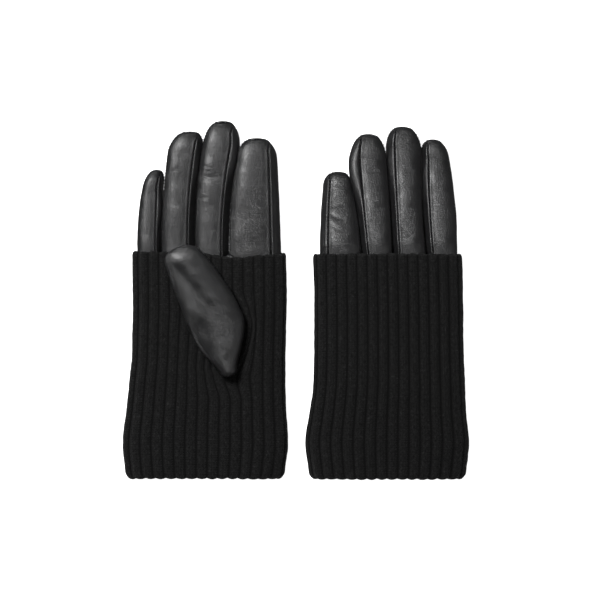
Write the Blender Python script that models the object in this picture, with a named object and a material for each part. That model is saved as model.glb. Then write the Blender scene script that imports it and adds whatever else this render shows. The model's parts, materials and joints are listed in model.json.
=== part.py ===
"""A pair of gentlemen's gloves: leather hands with turned-up rib-knit cuffs.

The right glove lies palm up with its thumb folded over the palm. The left
glove lies back up, with its thumb folded beneath it. Both gloves are the
same design, so one set of functions builds both, from two outline tables.

Frame: +Y to the fingertips, +X to the right, +Z up, z = 0 where the pair
lies. Sizes below are in millimetres and become metres at the end.

Inside a glove, an angle round a finger or the hand starts at the right
edge (+X) and turns through the palm, so 90 degrees is the palm's middle.
"""

import math

import bmesh
import bpy
import numpy as np

MM = 0.001

# --- driving dimensions ---------------------------------------------------
LENGTH = 238.7            # folded cuff edge to the longest fingertip, as faceted
GLOVE_OFFSET = {"right": -60.7, "left": 61.5}   # each hand's centre line, X

LEATHER = 0.9             # glove leather
LINING = 1.2              # knitted lining
KNIT = 2.2                # rib knit, one layer
GAP = 0.3                 # clearance between pieces that touch
LOOSE = 0.5               # between layers whose facets don't line up

CUFF_TOP = 151.0          # where the turned-up cuff ends
RIM_TOP = 153.0           # its bound-off edge
CUFF_TURNED_IN = 27.0     # how far the inner layer runs up to its seam
BINDING_TOP = 33.0        # tape over the seam between knit and leather
HAND_END = 155.2          # knuckle line, hand side
FINGER_START = 156.3      # knuckle line, finger side
# Sections shared by all layers, from where the leather starts.
HAND_HEIGHTS = (CUFF_TURNED_IN + GAP, BINDING_TOP, 42, 62, 80, 113)

RING_SIDES = 28           # facets round the hand
HAND_POWER = 3.0          # how square the hand's section is
FINGER_POWER = 2.5        # how square a finger's section is
FINGER_HALF = 7.0         # half the thickness of a stuffed finger
KNUCKLE_HALF = 6.5        # and at its root
TIP_TURNS = (48, 78)      # degrees round the fingertip of its last sections

# Depth of each layer's two faces below the outside of the cuff.
LEATHER_DEPTH = KNIT + GAP
LINING_DEPTH = LEATHER_DEPTH + LEATHER + LOOSE
FINGER_LINING_DEPTH = LEATHER + LOOSE

# --- seams, degrees round a finger ----------------------------------------
ROLL = 18                 # the seams sit turned towards the thumb side
FOURCHETTE_HALF = 36      # half the angle that a side strip covers
OUTER_SEAM = 50           # index and little outer seams, from the edge
SEAM_GAP = 1.6            # half the gap left at a seam

# --- thumb ----------------------------------------------------------------
THUMB_ROOT = (16.1, 69.3)         # lowest point of the thumb, on the palm
THUMB_LEAN = math.radians(22)     # leans away from the index finger
THUMB_LENGTH = 92.0
THUMB_HALF = 5.25                 # half its thickness
THUMB_POWER = 2.5
# distance along the thumb, reach to its left, reach to its right
THUMB_OUTLINE = ((3, 4, 6.7), (12.5, 7.5, 13.9), (23, 11.6, 20.5), (32, 12.7, 24.2),
                 (42, 12.7, 23.4), (56, 12, 20.3), (71, 12.2, 17), (82, 11, 13))
THUMB_TIP = (0.5, 92.0)

# Oval way from the hand into the thumb, and the pieces round it.
WAY_CENTRE = (17.9, 91.6)
WAY_LEAN = math.radians(15)
WAY_HALF = (4.6, 12.0)            # half width, half length of the clear way
WAY_DEEP = 8.0                    # how far the cut goes in, past every layer
HOLE_SIDES = 16

# --- joints ---------------------------------------------------------------
KNUCKLE_Y = 155.75
THUMB_HINGE = ((23.2, 74.0), (0.181, 0.983))    # a point, and its direction

# --- each glove's outline -------------------------------------------------
# cuff: height up the hand, left edge, right edge.
# palm and back: surface height at the cuff's mouth and further up.
# fingers: (height, left, right) sections, then the tip's (x, y).
GLOVES = {
    "right": {
        "palm_up": 1,
        "cuff": ((0, -50.5, 51.0), (4, -52.6, 52.8), (20.7, -54.6, 55.4), (31, -54.4, 55.0),
                 (41, -52.6, 54.2), (63, -50.5, 53.4), (88, -47.5, 53.4), (113, -47.7, 54.3),
                 (153, -48.1, 53.9)),
        "low": ((0, 0.0), (62, 0.0)),
        "high": ((0, 18.0), (62, 18.0)),
        "finger_middle": (9.0, 7.0),
        "fingers": {
            "index": (((FINGER_START, 16.6, 50.4), (186, 18.1, 49.4), (212.7, 21.9, 47.9)),
                      (34.6, 227.7)),
            "middle": (((FINGER_START, -5.8, 16.0), (186, -5.0, 17.4), (222, -1.0, 22.6)),
                       (12.3, 239.1)),
            "ring": (((FINGER_START, -28.3, -6.4), (186, -27.3, -5.6), (219, -24.2, -1.9)),
                     (-9.7, 232.1)),
            "little": (((FINGER_START, -44.4, -28.9), (178, -43.4, -28.6), (195, -40.8, -28.3)),
                       (-31.8, 206.5)),
        },
    },
    "left": {
        "palm_up": -1,
        "cuff": ((0, -50.5, 50.2), (4, -52.0, 51.6), (20.7, -54.4, 53.6), (28, -54.7, 53.8),
                 (42, -51.9, 51.8), (59, -49.4, 50.9), (80, -48.6, 50.0), (113, -48.6, 49.7),
                 (153, -49.3, 48.6)),
        "low": ((0, 0.0), (4, 0.0), (62, 10.8)),
        "high": ((0, 24.0), (4, 24.2), (62, 28.8)),
        "finger_middle": (19.8, 7.0),
        "fingers": {
            "index": (((FINGER_START, 24.6, 45.4), (184, 22.7, 44.5), (212.7, 22.9, 41.0)),
                      (29.8, 226.8)),
            "middle": (((FINGER_START, 2.6, 24.0), (186, 1.1, 22.0), (220, -0.4, 22.2)),
                       (9.6, 235.3)),
            "ring": (((FINGER_START, -18.3, 2.0), (186, -21.5, 0.5), (213, -23.8, -1.0)),
                     (-13.0, 230.4)),
            "little": (((FINGER_START, -44.7, -18.9), (178, -44.0, -21.2), (194, -42.6, -23.6)),
                       (-33.1, 205.2)),
        },
    },
}
FINGERS = ("index", "middle", "ring", "little")

# Which finger sides have a strip let in: "left", "right" or both.
FOURCHETTES = {
    "index": {"left": "index_fourchette"},
    "middle": {"left": "middle_fourchette_b", "right": "middle_fourchette_a"},
    "ring": {"left": "ring_fourchette_b", "right": "ring_fourchette_a"},
    "little": {"right": "little_fourchette"},
}


# --- materials ------------------------------------------------------------
def make_material(name, colour, roughness):
    material = bpy.data.materials.new(name)
    material.use_nodes = True
    shader = material.node_tree.nodes["Principled BSDF"]
    shader.inputs["Base Color"].default_value = (*colour, 1)
    shader.inputs["Roughness"].default_value = roughness
    shader.inputs["Metallic"].default_value = 0
    material.diffuse_color = (*colour, 1)
    return material


# --- sections -------------------------------------------------------------
# The section's facets straddle its middle, so top and bottom are flat there.
FLAT_ANGLE = math.radians(90 - 180 / RING_SIDES)


def on_section(left, right, low, high, power, angle):
    """A point on a rounded-box section, as (x, z), angle in degrees."""
    turn = math.radians(angle)
    c, s = math.cos(turn), math.sin(turn)
    flat = math.sin(FLAT_ANGLE) ** (2 / power)
    across = math.copysign(abs(c) ** (2 / power), c)
    up = math.copysign(min(1, abs(s) ** (2 / power) / flat), s)
    x = (left + right) / 2 + across * (right - left) / 2
    z = (low + high) / 2 + up * (high - low) / 2
    return x, z


def spread(start, end, count):
    """count + 1 angles from start to end."""
    return [start + (end - start) * i / count for i in range(count + 1)]


def ring_angles():
    step = 360 / RING_SIDES
    return [step * (i + 0.5) for i in range(RING_SIDES)]


def hand_section(glove, y, depth, angles):
    """One section of the hand, that far below the outside of the cuff."""
    heights, lefts, rights = zip(*glove["cuff"])
    left = np.interp(y, heights, lefts) + depth
    right = np.interp(y, heights, rights) - depth
    low = np.interp(y, *zip(*glove["low"])) + depth
    high = np.interp(y, *zip(*glove["high"])) - depth
    points = []
    for angle in angles:
        x, z = on_section(left, right, low, high, HAND_POWER, glove["palm_up"] * angle)
        points.append((x, y, z))
    return points


def finger_sections(glove, finger, depth):
    """(y, left, right, low, high) from the knuckle to the tip, at a depth."""
    rows, tip = glove["fingers"][finger]
    root_middle, tip_middle = glove["finger_middle"]
    sections = []
    for y, left, right in rows:
        along = (y - FINGER_START) / (rows[-1][0] - FINGER_START)
        middle = root_middle + (tip_middle - root_middle) * along
        half = KNUCKLE_HALF + (FINGER_HALF - KNUCKLE_HALF) * min(1, 2 * along) - depth
        sections.append((y, left + depth, right - depth, middle - half, middle + half))
    y, left, right, low, high = sections[-1]
    centre, middle = (left + right) / 2, (low + high) / 2
    for turn in TIP_TURNS:
        forward, across = math.sin(math.radians(turn)), math.cos(math.radians(turn))
        tip_centre = centre + (tip[0] - centre) * forward
        reach = (right - left) / 2 * across
        half = (high - low) / 2 * across
        tip_y = y + (tip[1] - depth - y) * forward
        sections.append((tip_y, tip_centre - reach, tip_centre + reach, middle - half, middle + half))
    return sections


def finger_point(glove, section, angle):
    y, left, right, low, high = section
    x, z = on_section(left, right, low, high, FINGER_POWER, glove["palm_up"] * angle)
    return x, y, z


def thumb_sections(depth):
    """(along, left, right, half) from the root to the tip, at a depth."""
    sections = []
    for along, left, right in THUMB_OUTLINE:
        sections.append((along, depth - left, right - depth, THUMB_HALF - depth))
    along, left, right, half = sections[-1]
    centre = (left + right) / 2
    for turn in TIP_TURNS:
        forward, across = math.sin(math.radians(turn)), math.cos(math.radians(turn))
        tip_centre = centre + (THUMB_TIP[0] - centre) * forward
        reach = (right - left) / 2 * across
        tip_along = along + (THUMB_LENGTH - depth - along) * forward
        sections.append((tip_along, tip_centre - reach, tip_centre + reach, half * across))
    return sections


def thumb_point(glove, section, angle):
    along, left, right, half = section
    middle = GAP + THUMB_HALF
    x, lift = on_section(left, right, middle - half, middle + half, THUMB_POWER, angle)
    return (THUMB_ROOT[0] - math.sin(THUMB_LEAN) * along + math.cos(THUMB_LEAN) * x,
            THUMB_ROOT[1] + math.cos(THUMB_LEAN) * along + math.sin(THUMB_LEAN) * x,
            palm_height(glove) + glove["palm_up"] * lift)


def palm_height(glove):
    """Height of the cuff's palm side, where the thumb lies."""
    side = "high" if glove["palm_up"] > 0 else "low"
    return glove[side][-1][1]


def way_outline(grow):
    """The oval round the thumb's way in, grown by a distance."""
    width, length = WAY_HALF[0] + grow, WAY_HALF[1] + grow
    points = []
    for i in range(HOLE_SIDES):
        turn = math.radians(360 * (i + 0.5) / HOLE_SIDES)
        across, along = width * math.cos(turn), length * math.sin(turn)
        points.append((WAY_CENTRE[0] + across * math.cos(WAY_LEAN) + along * math.sin(WAY_LEAN),
                       WAY_CENTRE[1] - across * math.sin(WAY_LEAN) + along * math.cos(WAY_LEAN)))
    return points


# --- solids ---------------------------------------------------------------
def add_object(name, mesh_data, parent, material):
    """Put a bmesh in millimetres into the scene, under its parent empty."""
    bmesh.ops.recalc_face_normals(mesh_data, faces=mesh_data.faces)
    origin = parent["place"]
    for vertex in mesh_data.verts:
        vertex.co = [(vertex.co[i] - origin[i]) * MM for i in range(3)]
    mesh = bpy.data.meshes.new(name)
    mesh_data.to_mesh(mesh)
    mesh_data.free()
    mesh.materials.append(material)
    mesh.shade_smooth()
    mesh.set_sharp_from_angle(angle=math.radians(40))
    obj = bpy.data.objects.new(name, mesh)
    bpy.context.scene.collection.objects.link(obj)
    obj.parent = parent
    return obj


def add_joint(name, place, hand=None):
    """An empty at a joint, which the pieces that turn there hang from."""
    empty = bpy.data.objects.new(name, None)
    bpy.context.scene.collection.objects.link(empty)
    empty["place"] = place
    empty.location = [value * MM for value in place]
    empty.parent = hand
    return empty


def join_rows(mesh, first, second, closed):
    """Quads between two rows of vertices."""
    count = len(first)
    last = count if closed else count - 1
    for i in range(last):
        j = (i + 1) % count
        mesh.faces.new((first[i], first[j], second[j], second[i]))


def shell(outer, inner, closed=False, tip=False):
    """A wall between two grids of points with the same rows and columns."""
    mesh = bmesh.new()
    grids = []
    for grid in (outer, inner):
        rows = [[mesh.verts.new(point) for point in row] for row in grid]
        for first, second in zip(rows, rows[1:]):
            join_rows(mesh, first, second, closed)
        grids.append(rows)
    outside, inside = grids
    join_rows(mesh, outside[0], inside[0], closed)
    if tip:
        mesh.faces.new(outside[-1])
        mesh.faces.new(inside[-1])
    else:
        join_rows(mesh, outside[-1], inside[-1], closed)
    if not closed:
        for side in (0, -1):
            join_rows(mesh, [row[side] for row in outside], [row[side] for row in inside], False)
    return mesh


def loop_solid(rings):
    """A closed ring swept through a list of sections that ends where it began."""
    mesh = bmesh.new()
    rows = [[mesh.verts.new(point) for point in ring] for ring in rings]
    for first, second in zip(rows, rows[1:] + rows[:1]):
        join_rows(mesh, first, second, True)
    return mesh


def cut_way(obj, glove, parent, grow, heights):
    """Cut the oval way through a piece, between two palm-side heights."""
    mesh = bmesh.new()
    base = palm_height(glove)
    rows = []
    for lift in heights:
        z = base + glove["palm_up"] * lift
        rows.append([mesh.verts.new((x, y, z)) for x, y in way_outline(grow)])
    join_rows(mesh, rows[0], rows[1], True)
    mesh.faces.new(rows[0])
    mesh.faces.new(rows[1])
    cutter = add_object(obj.name + "_way", mesh, parent, obj.data.materials[0])
    cutter.hide_render = True
    cutter.display_type = "WIRE"
    cut = obj.modifiers.new("way", "BOOLEAN")
    cut.operation = "DIFFERENCE"
    cut.solver = "EXACT"
    cut.object = cutter


# --- the pieces of a finger -----------------------------------------------
def seam_half(section_index, section_count):
    """Half the angle of a side strip, which runs out at the fingertip."""
    to_tip = section_count - 1 - section_index
    return {0: 6, 1: 10, 2: 30}.get(to_tip, FOURCHETTE_HALF)


def finger_seams(finger, index, count):
    """Angles where the palm panel starts and ends, and the back panel."""
    half = seam_half(index, count)
    outer = OUTER_SEAM * half / FOURCHETTE_HALF
    palm_right = outer if finger == "index" else ROLL + half
    back_right = 360 + (outer if finger == "index" else ROLL - half)
    palm_left = 180 + outer if finger == "little" else 180 + ROLL - half
    back_left = 180 + outer if finger == "little" else 180 + ROLL + half
    return palm_right, palm_left, back_left, back_right


def finger_panel(glove, finger, pick, columns, depth, rows=None):
    """A strip of leather; pick gives its two edge angles at a section."""
    outer = finger_sections(glove, finger, depth)
    inner = finger_sections(glove, finger, depth + LEATHER)
    count = len(outer)
    grids = ([], [])
    for index in range(rows or count):
        start, end = pick(finger_seams(finger, index, count))
        angles = spread(start + SEAM_GAP, end - SEAM_GAP, columns)
        for grid, sections in zip(grids, (outer, inner)):
            grid.append([finger_point(glove, sections[index], angle) for angle in angles])
    return shell(*grids)


def palm_edges(seams):
    return seams[0], seams[1]


def back_edges(seams):
    return seams[2], seams[3]


def right_strip_edges(seams):
    return seams[3] - 360, seams[0]


def left_strip_edges(seams):
    return seams[1], seams[2]


def build_finger(side, glove, finger, hand, leather, lining):
    rows, _tip = glove["fingers"][finger]
    _y, left, right = rows[0]
    middle = glove["finger_middle"][0]
    knuckle = ((left + right) / 2, KNUCKLE_Y, middle + glove["palm_up"] * KNUCKLE_HALF)
    joint = add_joint(f"{side}_{finger}_knuckle", knuckle, hand)
    name = f"{side}_{finger}"

    palm_columns = 10 if finger == "little" else 6
    back_columns = 10 if finger == "index" else 6
    add_object(name + "_palm", finger_panel(glove, finger, palm_edges, palm_columns, 0),
               joint, leather)
    add_object(name + "_back", finger_panel(glove, finger, back_edges, back_columns, 0),
               joint, leather)

    edges = {"left": left_strip_edges, "right": right_strip_edges}
    strip_rows = len(rows) + 1
    for strip_side, node in FOURCHETTES[finger].items():
        mesh = finger_panel(glove, finger, edges[strip_side], 3, 0, strip_rows)
        add_object(f"{side}_{node}", mesh, joint, leather)

    angles = spread(0, 360, 14)[:-1]
    grids = []
    for depth in (FINGER_LINING_DEPTH, FINGER_LINING_DEPTH + LINING):
        sections = finger_sections(glove, finger, depth)
        grids.append([[finger_point(glove, s, a) for a in angles] for s in sections])
    add_object(name + "_lining", shell(*grids, closed=True, tip=True), joint, lining)


# --- the pieces of a thumb ------------------------------------------------
def build_thumb(side, glove, hand, leather, lining):
    (x, y), _direction = THUMB_HINGE
    place = (x, y, palm_height(glove) + glove["palm_up"] * GAP / 2)
    joint = add_joint(f"{side}_thumb_hinge", place, hand)

    outer, inner = thumb_sections(0), thumb_sections(LEATHER)
    for part, start in (("front", 0), ("back", 180)):
        angles = spread(start + 2 * SEAM_GAP, start + 180 - 2 * SEAM_GAP, 8)
        grids = [[[thumb_point(glove, s, a) for a in angles] for s in sections]
                 for sections in (outer, inner)]
        obj = add_object(f"{side}_thumb_{part}", shell(*grids), joint, leather)
        if part == "back":
            cut_way(obj, glove, joint, 0, (-1, THUMB_HALF))

    angles = spread(0, 360, 14)[:-1]
    grids = []
    for depth in (FINGER_LINING_DEPTH, FINGER_LINING_DEPTH + LINING):
        sections = thumb_sections(depth)[1:]
        grids.append([[thumb_point(glove, s, a) for a in angles] for s in sections])
    obj = add_object(f"{side}_thumb_lining", shell(*grids, closed=True, tip=True), joint, lining)
    cut_way(obj, glove, joint, 0, (-1, THUMB_HALF))


# --- the pieces of the hand -----------------------------------------------
def oval_ring(glove, grow, wall, lifts):
    """An oval ring round the thumb's way in, between two heights."""
    base = palm_height(glove)
    rings = []
    for outline_grow, lift in ((grow, lifts[0]), (grow + wall, lifts[0]),
                               (grow + wall, lifts[1]), (grow, lifts[1])):
        z = base + glove["palm_up"] * lift
        rings.append([(px, py, z) for px, py in way_outline(outline_grow)])
    return loop_solid(rings)


def hand_ring(glove, heights, depth, thickness):
    """A ring of cloth or tape round the hand."""
    angles = ring_angles()
    rings = [hand_section(glove, y, depth, angles) for y in heights]
    rings += [hand_section(glove, y, depth + thickness, angles) for y in reversed(heights)]
    return loop_solid(rings)


def knit_cuff(glove):
    """Two layers of knit, joined by the fold at the wrist."""
    angles = ring_angles()
    inner = LEATHER_DEPTH
    inside = inner + KNIT
    heights = (4, 20.7, *HAND_HEIGHTS, CUFF_TOP)
    fold = [(y, 0) for y in reversed(heights)]
    fold += [(1, 0.8), (0, 2.4), (1, inside - 0.8), (4, inside)]
    fold += [(CUFF_TURNED_IN, inside), (CUFF_TURNED_IN, inner), (4, inner)]
    fold += [(y, KNIT) for y in heights]
    return loop_solid([hand_section(glove, y, depth, angles) for y, depth in fold])


def hand_panel(glove, start, end, columns):
    """Half of the leather hand, between its two side seams."""
    angles = spread(start + SEAM_GAP, end - SEAM_GAP, columns)
    heights = (*HAND_HEIGHTS, HAND_END)
    grids = [[hand_section(glove, y, depth, angles) for y in heights]
             for depth in (LEATHER_DEPTH, LEATHER_DEPTH + LEATHER)]
    return shell(*grids)


def build_hand(side, glove, hand, materials):
    leather, knit, lining, tape = materials
    quirk = LEATHER
    edge = quirk + GAP
    edging = 1.2

    palm = add_object(f"{side}_palm_leather", hand_panel(glove, OUTER_SEAM, 180 + OUTER_SEAM, 16),
                      hand, leather)
    cut_way(palm, glove, hand, edge, (-WAY_DEEP, 1))
    add_object(f"{side}_back_leather", hand_panel(glove, 180 + OUTER_SEAM, 360 + OUTER_SEAM, 16),
               hand, leather)

    inside = add_object(f"{side}_hand_lining",
                        hand_ring(glove, (BINDING_TOP + GAP, *HAND_HEIGHTS[2:], HAND_END),
                                  LINING_DEPTH, LINING), hand, lining)
    cut_way(inside, glove, hand, edge, (-WAY_DEEP, 1))
    add_object(f"{side}_wrist_binding",
               hand_ring(glove, (CUFF_TURNED_IN + GAP, BINDING_TOP), LINING_DEPTH, LINING),
               hand, tape)

    cuff = add_object(f"{side}_knit_cuff", knit_cuff(glove), hand, knit)
    cut_way(cuff, glove, hand, edge + edging + GAP, (-WAY_DEEP, 1))
    add_object(f"{side}_cuff_rim", hand_ring(glove, (CUFF_TOP + GAP, RIM_TOP), 0, KNIT),
               hand, knit)
    add_object(f"{side}_thumbhole_edge", oval_ring(glove, edge, edging, (-KNIT, -0.3)), hand, knit)
    add_object(f"{side}_thumb_quirk", oval_ring(glove, 0, quirk, (-LINING_DEPTH - LINING, -0.1)),
               hand, leather)


def build_glove(side, glove, materials):
    leather, _knit, lining, _tape = materials
    hand = add_joint(f"{side}_hand", (0, 0, 0))
    hand.location = (GLOVE_OFFSET[side] * MM, -LENGTH / 2 * MM, 0)
    build_hand(side, glove, hand, materials)
    for finger in FINGERS:
        build_finger(side, glove, finger, hand, leather, lining)
    build_thumb(side, glove, hand, leather, lining)


def main():
    for obj in list(bpy.data.objects):
        bpy.data.objects.remove(obj, do_unlink=True)
    materials = (make_material("black_leather", (0.018, 0.018, 0.019), 0.42),
                 make_material("black_rib_knit", (0.008, 0.008, 0.008), 0.95),
                 make_material("black_lining", (0.03, 0.03, 0.032), 0.9),
                 make_material("black_tape", (0.02, 0.02, 0.02), 0.8))
    for side, glove in GLOVES.items():
        build_glove(side, glove, materials)
    bpy.context.view_layer.update()


main()
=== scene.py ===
"""The looks of a pair of leather gloves with turned-up rib-knit cuffs.

Lengths are in millimetres until a mesh is made. Angles round a finger or the
hand are in degrees from the right edge (+X), through the palm at 90.
"""

import json
import math

import bmesh
import bpy
import numpy as np
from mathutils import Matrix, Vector, noise


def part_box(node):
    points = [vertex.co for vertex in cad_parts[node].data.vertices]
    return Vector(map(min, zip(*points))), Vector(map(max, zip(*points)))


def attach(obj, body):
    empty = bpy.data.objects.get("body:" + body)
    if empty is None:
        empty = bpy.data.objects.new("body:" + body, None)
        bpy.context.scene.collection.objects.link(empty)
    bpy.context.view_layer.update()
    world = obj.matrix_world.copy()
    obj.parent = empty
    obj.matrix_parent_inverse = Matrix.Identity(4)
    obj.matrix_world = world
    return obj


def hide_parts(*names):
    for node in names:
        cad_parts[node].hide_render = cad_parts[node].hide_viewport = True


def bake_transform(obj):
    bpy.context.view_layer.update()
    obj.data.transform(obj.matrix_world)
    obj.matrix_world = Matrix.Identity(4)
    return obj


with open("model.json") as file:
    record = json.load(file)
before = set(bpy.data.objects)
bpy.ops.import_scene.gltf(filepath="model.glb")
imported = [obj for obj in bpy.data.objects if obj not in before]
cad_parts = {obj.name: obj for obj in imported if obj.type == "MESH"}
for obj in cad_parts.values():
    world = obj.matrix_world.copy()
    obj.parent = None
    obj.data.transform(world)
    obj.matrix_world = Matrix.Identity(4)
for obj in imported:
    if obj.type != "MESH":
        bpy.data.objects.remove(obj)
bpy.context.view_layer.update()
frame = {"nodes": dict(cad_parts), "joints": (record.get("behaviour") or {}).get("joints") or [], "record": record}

MM = 0.001
SIDES = {"right": 1, "left": -1}          # and which way each palm faces
FINGERS = ("index", "middle", "ring", "little")

# --- leather and its seams --------------------------------------------------
SKIN = 0.8                # leather thickness
LIP_WIDTH = 0.8           # how far from a seam the leather starts to roll in
LIP_DEPTH = 0.85          # and how deep it goes
LIP_SWELL = 0.3           # the leather's rise just beside a seam
SEAM_ROLL = 18            # the side strips sit turned by this, round the finger
STRIP_HALF = 36           # half the angle that a side strip covers
SEAM_GAP = 0.9            # degrees between a seam's line and the leather on each side
OUTER_SEAM = 50           # index and little outer seams
FINGER_POWER = 2.35       # how square a finger's section is
TIP_BLUNT = 0.8           # under 1 makes a fingertip blunter than round
TIP_STRIP_END = 72        # degrees round the tip where the side strips end
TIP_SEAM = 70             # and where the palm's seam crosses
UNDER_CUFF = 15           # how far finger leather runs on inside the cuff
STITCHES_UNDER_CUFF = 6   # and its stitches
LINING_UNDER_CUFF = 12    # and its lining
CUFFED_HALF = 6.2         # half a finger's thickness in there
LINING_INSET = 2.7        # the fleece stalls lie this far inside the leather's face
STALL_WALL = 1.0
CAD_TIP_TURN = 78         # how far round the tip the CAD's last section stands
PLUMP = 0.45              # stuffed fingers press this much closer together
FINGER_SKEW = 1.15        # fingers lie rolled over by this much at their top face
STRIP_HOLLOW = 1.7        # the side strips sink in between the seams by this much
BULGE_DOWN = 24           # where a side strip is pushed out, down from the fingertip
BULGE_RUN = 18            # and over what length
PLAIN_BULGE = 0.9
BROAD_DENTS = 0.34        # the leather's unevenness: soft dents 17 mm apart,
SMALL_DENTS = 0.13        # smaller ones 6 mm apart
FINE_WRINKLES = 0.02      # and wrinkles across a finger
PUCKER = 0.07             # how deep each stitch draws the leather in
STITCH_STEP = 2.3
STITCH_LENGTH = 1.5
STITCH_THICK = 0.42
STITCH_LEAN = 0.5         # a stitch runs this far along its seam for 1 across it
STITCH_SIDES = 5
STITCH_PROFILE = ((-0.5, 0.45), (-0.25, 1.0), (0.25, 1.0), (0.5, 0.45))     # place, girth

# The faces across each piece, and the length of finger for one row of them.
ROW_STEP = 1.1
PANEL_COLUMNS = 30
WIDE_COLUMNS = 40
STRIP_COLUMNS = 12
LINING_COLUMNS = 40
THUMB_COLUMNS = 44
THUMB_LINING_COLUMNS = 48
HAND_COLUMNS = 150

# --- knit ---------------------------------------------------------------------
RIBS = 31                 # ribs round a cuff
RIB_COLUMNS = 10          # mesh columns for one rib
RIB_HEIGHT = 1.35
KNIT_WALL = 1.5
CUFF_FOLD = 2.4           # radius of the fold at the wrist
TURNED_IN = 30            # how far the inner layer runs up
FOLD_RIBS = 0.6           # how strong the ribs are round the fold
INNER_RIBS = 0.7
RIM_PROFILE = (           # the bound-off edge: height from the top, depth, rib strength
    (-7, 2.3, 0), (-3, 2.3, 0.1), (-0.6, 2.2, 0.3), (0.5, 1.7, 0.45),
    (0.8, 1.0, 0.6), (0.4, 0.35, 0.75), (-0.6, 0.05, 0.9),
)

# --- thumb opening, from the glove's own origin ---------------------------------
THUMB_HINGE_X = 23.2      # the thumb's hinge stands this far right of the cuff's middle
SLOT_CENTRE = (18.2, 89.0)
SLOT_HALF = (7.5, 19.5)
SLOT_LEAN = math.tan(math.radians(15))
SLOT_REACH = 40           # knit further than this from the glove's middle stays put
EDGE_RADIUS = 1.05        # of the knitted edge
EDGE_LOOPS = 44
EDGE_SIDES = 14
GUSSET_HALF = (4.7, 12.0)         # half its width and length
GUSSET_ROWS = 14

# --- hand, inside the cuff ------------------------------------------------------
HAND_POWER = 3.0          # how square the hand's and the cuff's sections are
HAND_TOP = 144.5          # where its leather ends, over the cuff's folded edge
PLAIN_WEBS = (150.0, 150.5, 150.0)        # and where it ends between the fingers,
WEB_HEIGHTS = {("right", "palm"): (151.5, 154.5, 150.0)}      # from the little one on
WEB_HALF = 3.0
GAP_HEIGHT = 37.2         # distance up the frame at which the gaps' places are read
TAPE_PUCKER_STEP = 5.0

# --- thumb ----------------------------------------------------------------------
THUMB_LEAN = math.radians(22)
THUMB_POWER = 2.3
THUMB_LEVELS = (1, 11, 21, 30, 40, 54, 69, 80)      # its sections, up from the hinge
THUMB_TIP_ROUND = 10.7
THUMB_TIP_ASIDE = 1.5     # its tip points to the left by this
THUMB_ROOT_ROUND = 4.0
THUMB_PLUMP = 1.2         # its right edge swells above the middle
CLOSED_HALF = 0.03        # half the width that is left where an end closes


# === Reading the frame =======================================================
def corners_of(*nodes):
    """The corners of some CAD nodes, in mm."""
    return np.vstack([[v.co for v in frame["nodes"][n].data.vertices] for n in nodes]) / MM


def box_mm(name):
    """The lowest and the highest corner of a CAD node, in mm."""
    return [np.array(corner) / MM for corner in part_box(name)]


def hinge_of(name):
    """The place of a joint, in metres."""
    return next(joint["pos_m"] for joint in frame["joints"] if joint["name"] == name)


def leather_nodes(side, finger):
    """A finger's CAD nodes without its lining."""
    nodes = frame["record"]["behaviour"]["bodies"][f"{side}_{finger}"]
    return [name for name in nodes if not name.endswith("lining")]


def glove_origin(side):
    """The middle of the cuff's folded edge, which plan places are given from."""
    low, _ = box_mm(f"{side}_knit_cuff")
    hinge = hinge_of(f"{side}_thumb_lift")
    return np.array([hinge[0] / MM - THUMB_HINGE_X, low[1], 0])


def smooth_steps(values, width):
    """A running weighted mean that rounds the kinks of a table of values."""
    reach = int(width * 2.5)
    weights = np.exp(-0.5 * (np.arange(-reach, reach + 1) / width) ** 2)
    padded = np.concatenate([np.full(reach, values[0]), values, np.full(reach, values[-1])])
    return np.convolve(padded, weights / weights.sum(), "valid")


def slice_extents(nodes, heights):
    """(left, right, low, high) of some CAD nodes where each height cuts them."""
    edges = []
    for name in nodes:
        mesh = frame["nodes"][name].data
        points = np.array([v.co for v in mesh.vertices]) / MM
        pairs = np.array([e.vertices for e in mesh.edges])
        edges.append(np.stack([points[pairs[:, 0]], points[pairs[:, 1]]], axis=1))
    edges = np.vstack(edges)
    low = edges[:, :, 1].min(axis=1)
    high = edges[:, :, 1].max(axis=1)
    extents = []
    for y in heights:
        crossing = edges[(low <= y) & (high >= y) & (high - low > 1e-6)]
        share = (y - crossing[:, 0, 1]) / (crossing[:, 1, 1] - crossing[:, 0, 1])
        cut = crossing[:, 0] + (crossing[:, 1] - crossing[:, 0]) * share[:, None]
        extents.append((cut[:, 0].min(), cut[:, 0].max(), cut[:, 2].min(), cut[:, 2].max()))
    return np.array(extents)


# === Surfaces ================================================================
def section_point(left, right, low, high, power, angle):
    """Points (x, z) on rounded-box sections; all arguments may be arrays."""
    turn = np.radians(angle)
    c, s = np.cos(turn), np.sin(turn)
    across = np.sign(c) * np.abs(c) ** (2 / power)
    up = np.sign(s) * np.abs(s) ** (2 / power)
    return (left + right) / 2 + across * (right - left) / 2, (low + high) / 2 + up * (high - low) / 2


def grid_normals(grid):
    """Unit normals of a table of points, by differences."""
    along = np.gradient(grid, axis=0)
    across = np.gradient(grid, axis=1)
    normals = np.cross(across, along)
    lengths = np.linalg.norm(normals, axis=2, keepdims=True)
    return normals / np.maximum(lengths, 1e-9)


def outward_normals(grid, centre):
    """Unit normals of a table of points that point away from a point inside."""
    normals = grid_normals(grid)
    return normals * np.sign(np.sum(normals * (grid - centre), axis=2).sum())


def raise_grid(grid, centre, lift):
    """Move a table of points along its normals, away from a point inside."""
    return grid + outward_normals(grid, centre) * lift[:, :, None]


def arc_lengths(grid, axis):
    """Distance travelled along an axis of a table of points."""
    steps = np.linalg.norm(np.diff(grid, axis=axis), axis=2)
    zero = np.zeros_like(np.take(steps, [0], axis=axis))
    return np.cumsum(np.concatenate([zero, steps], axis=axis), axis=axis)


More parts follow.
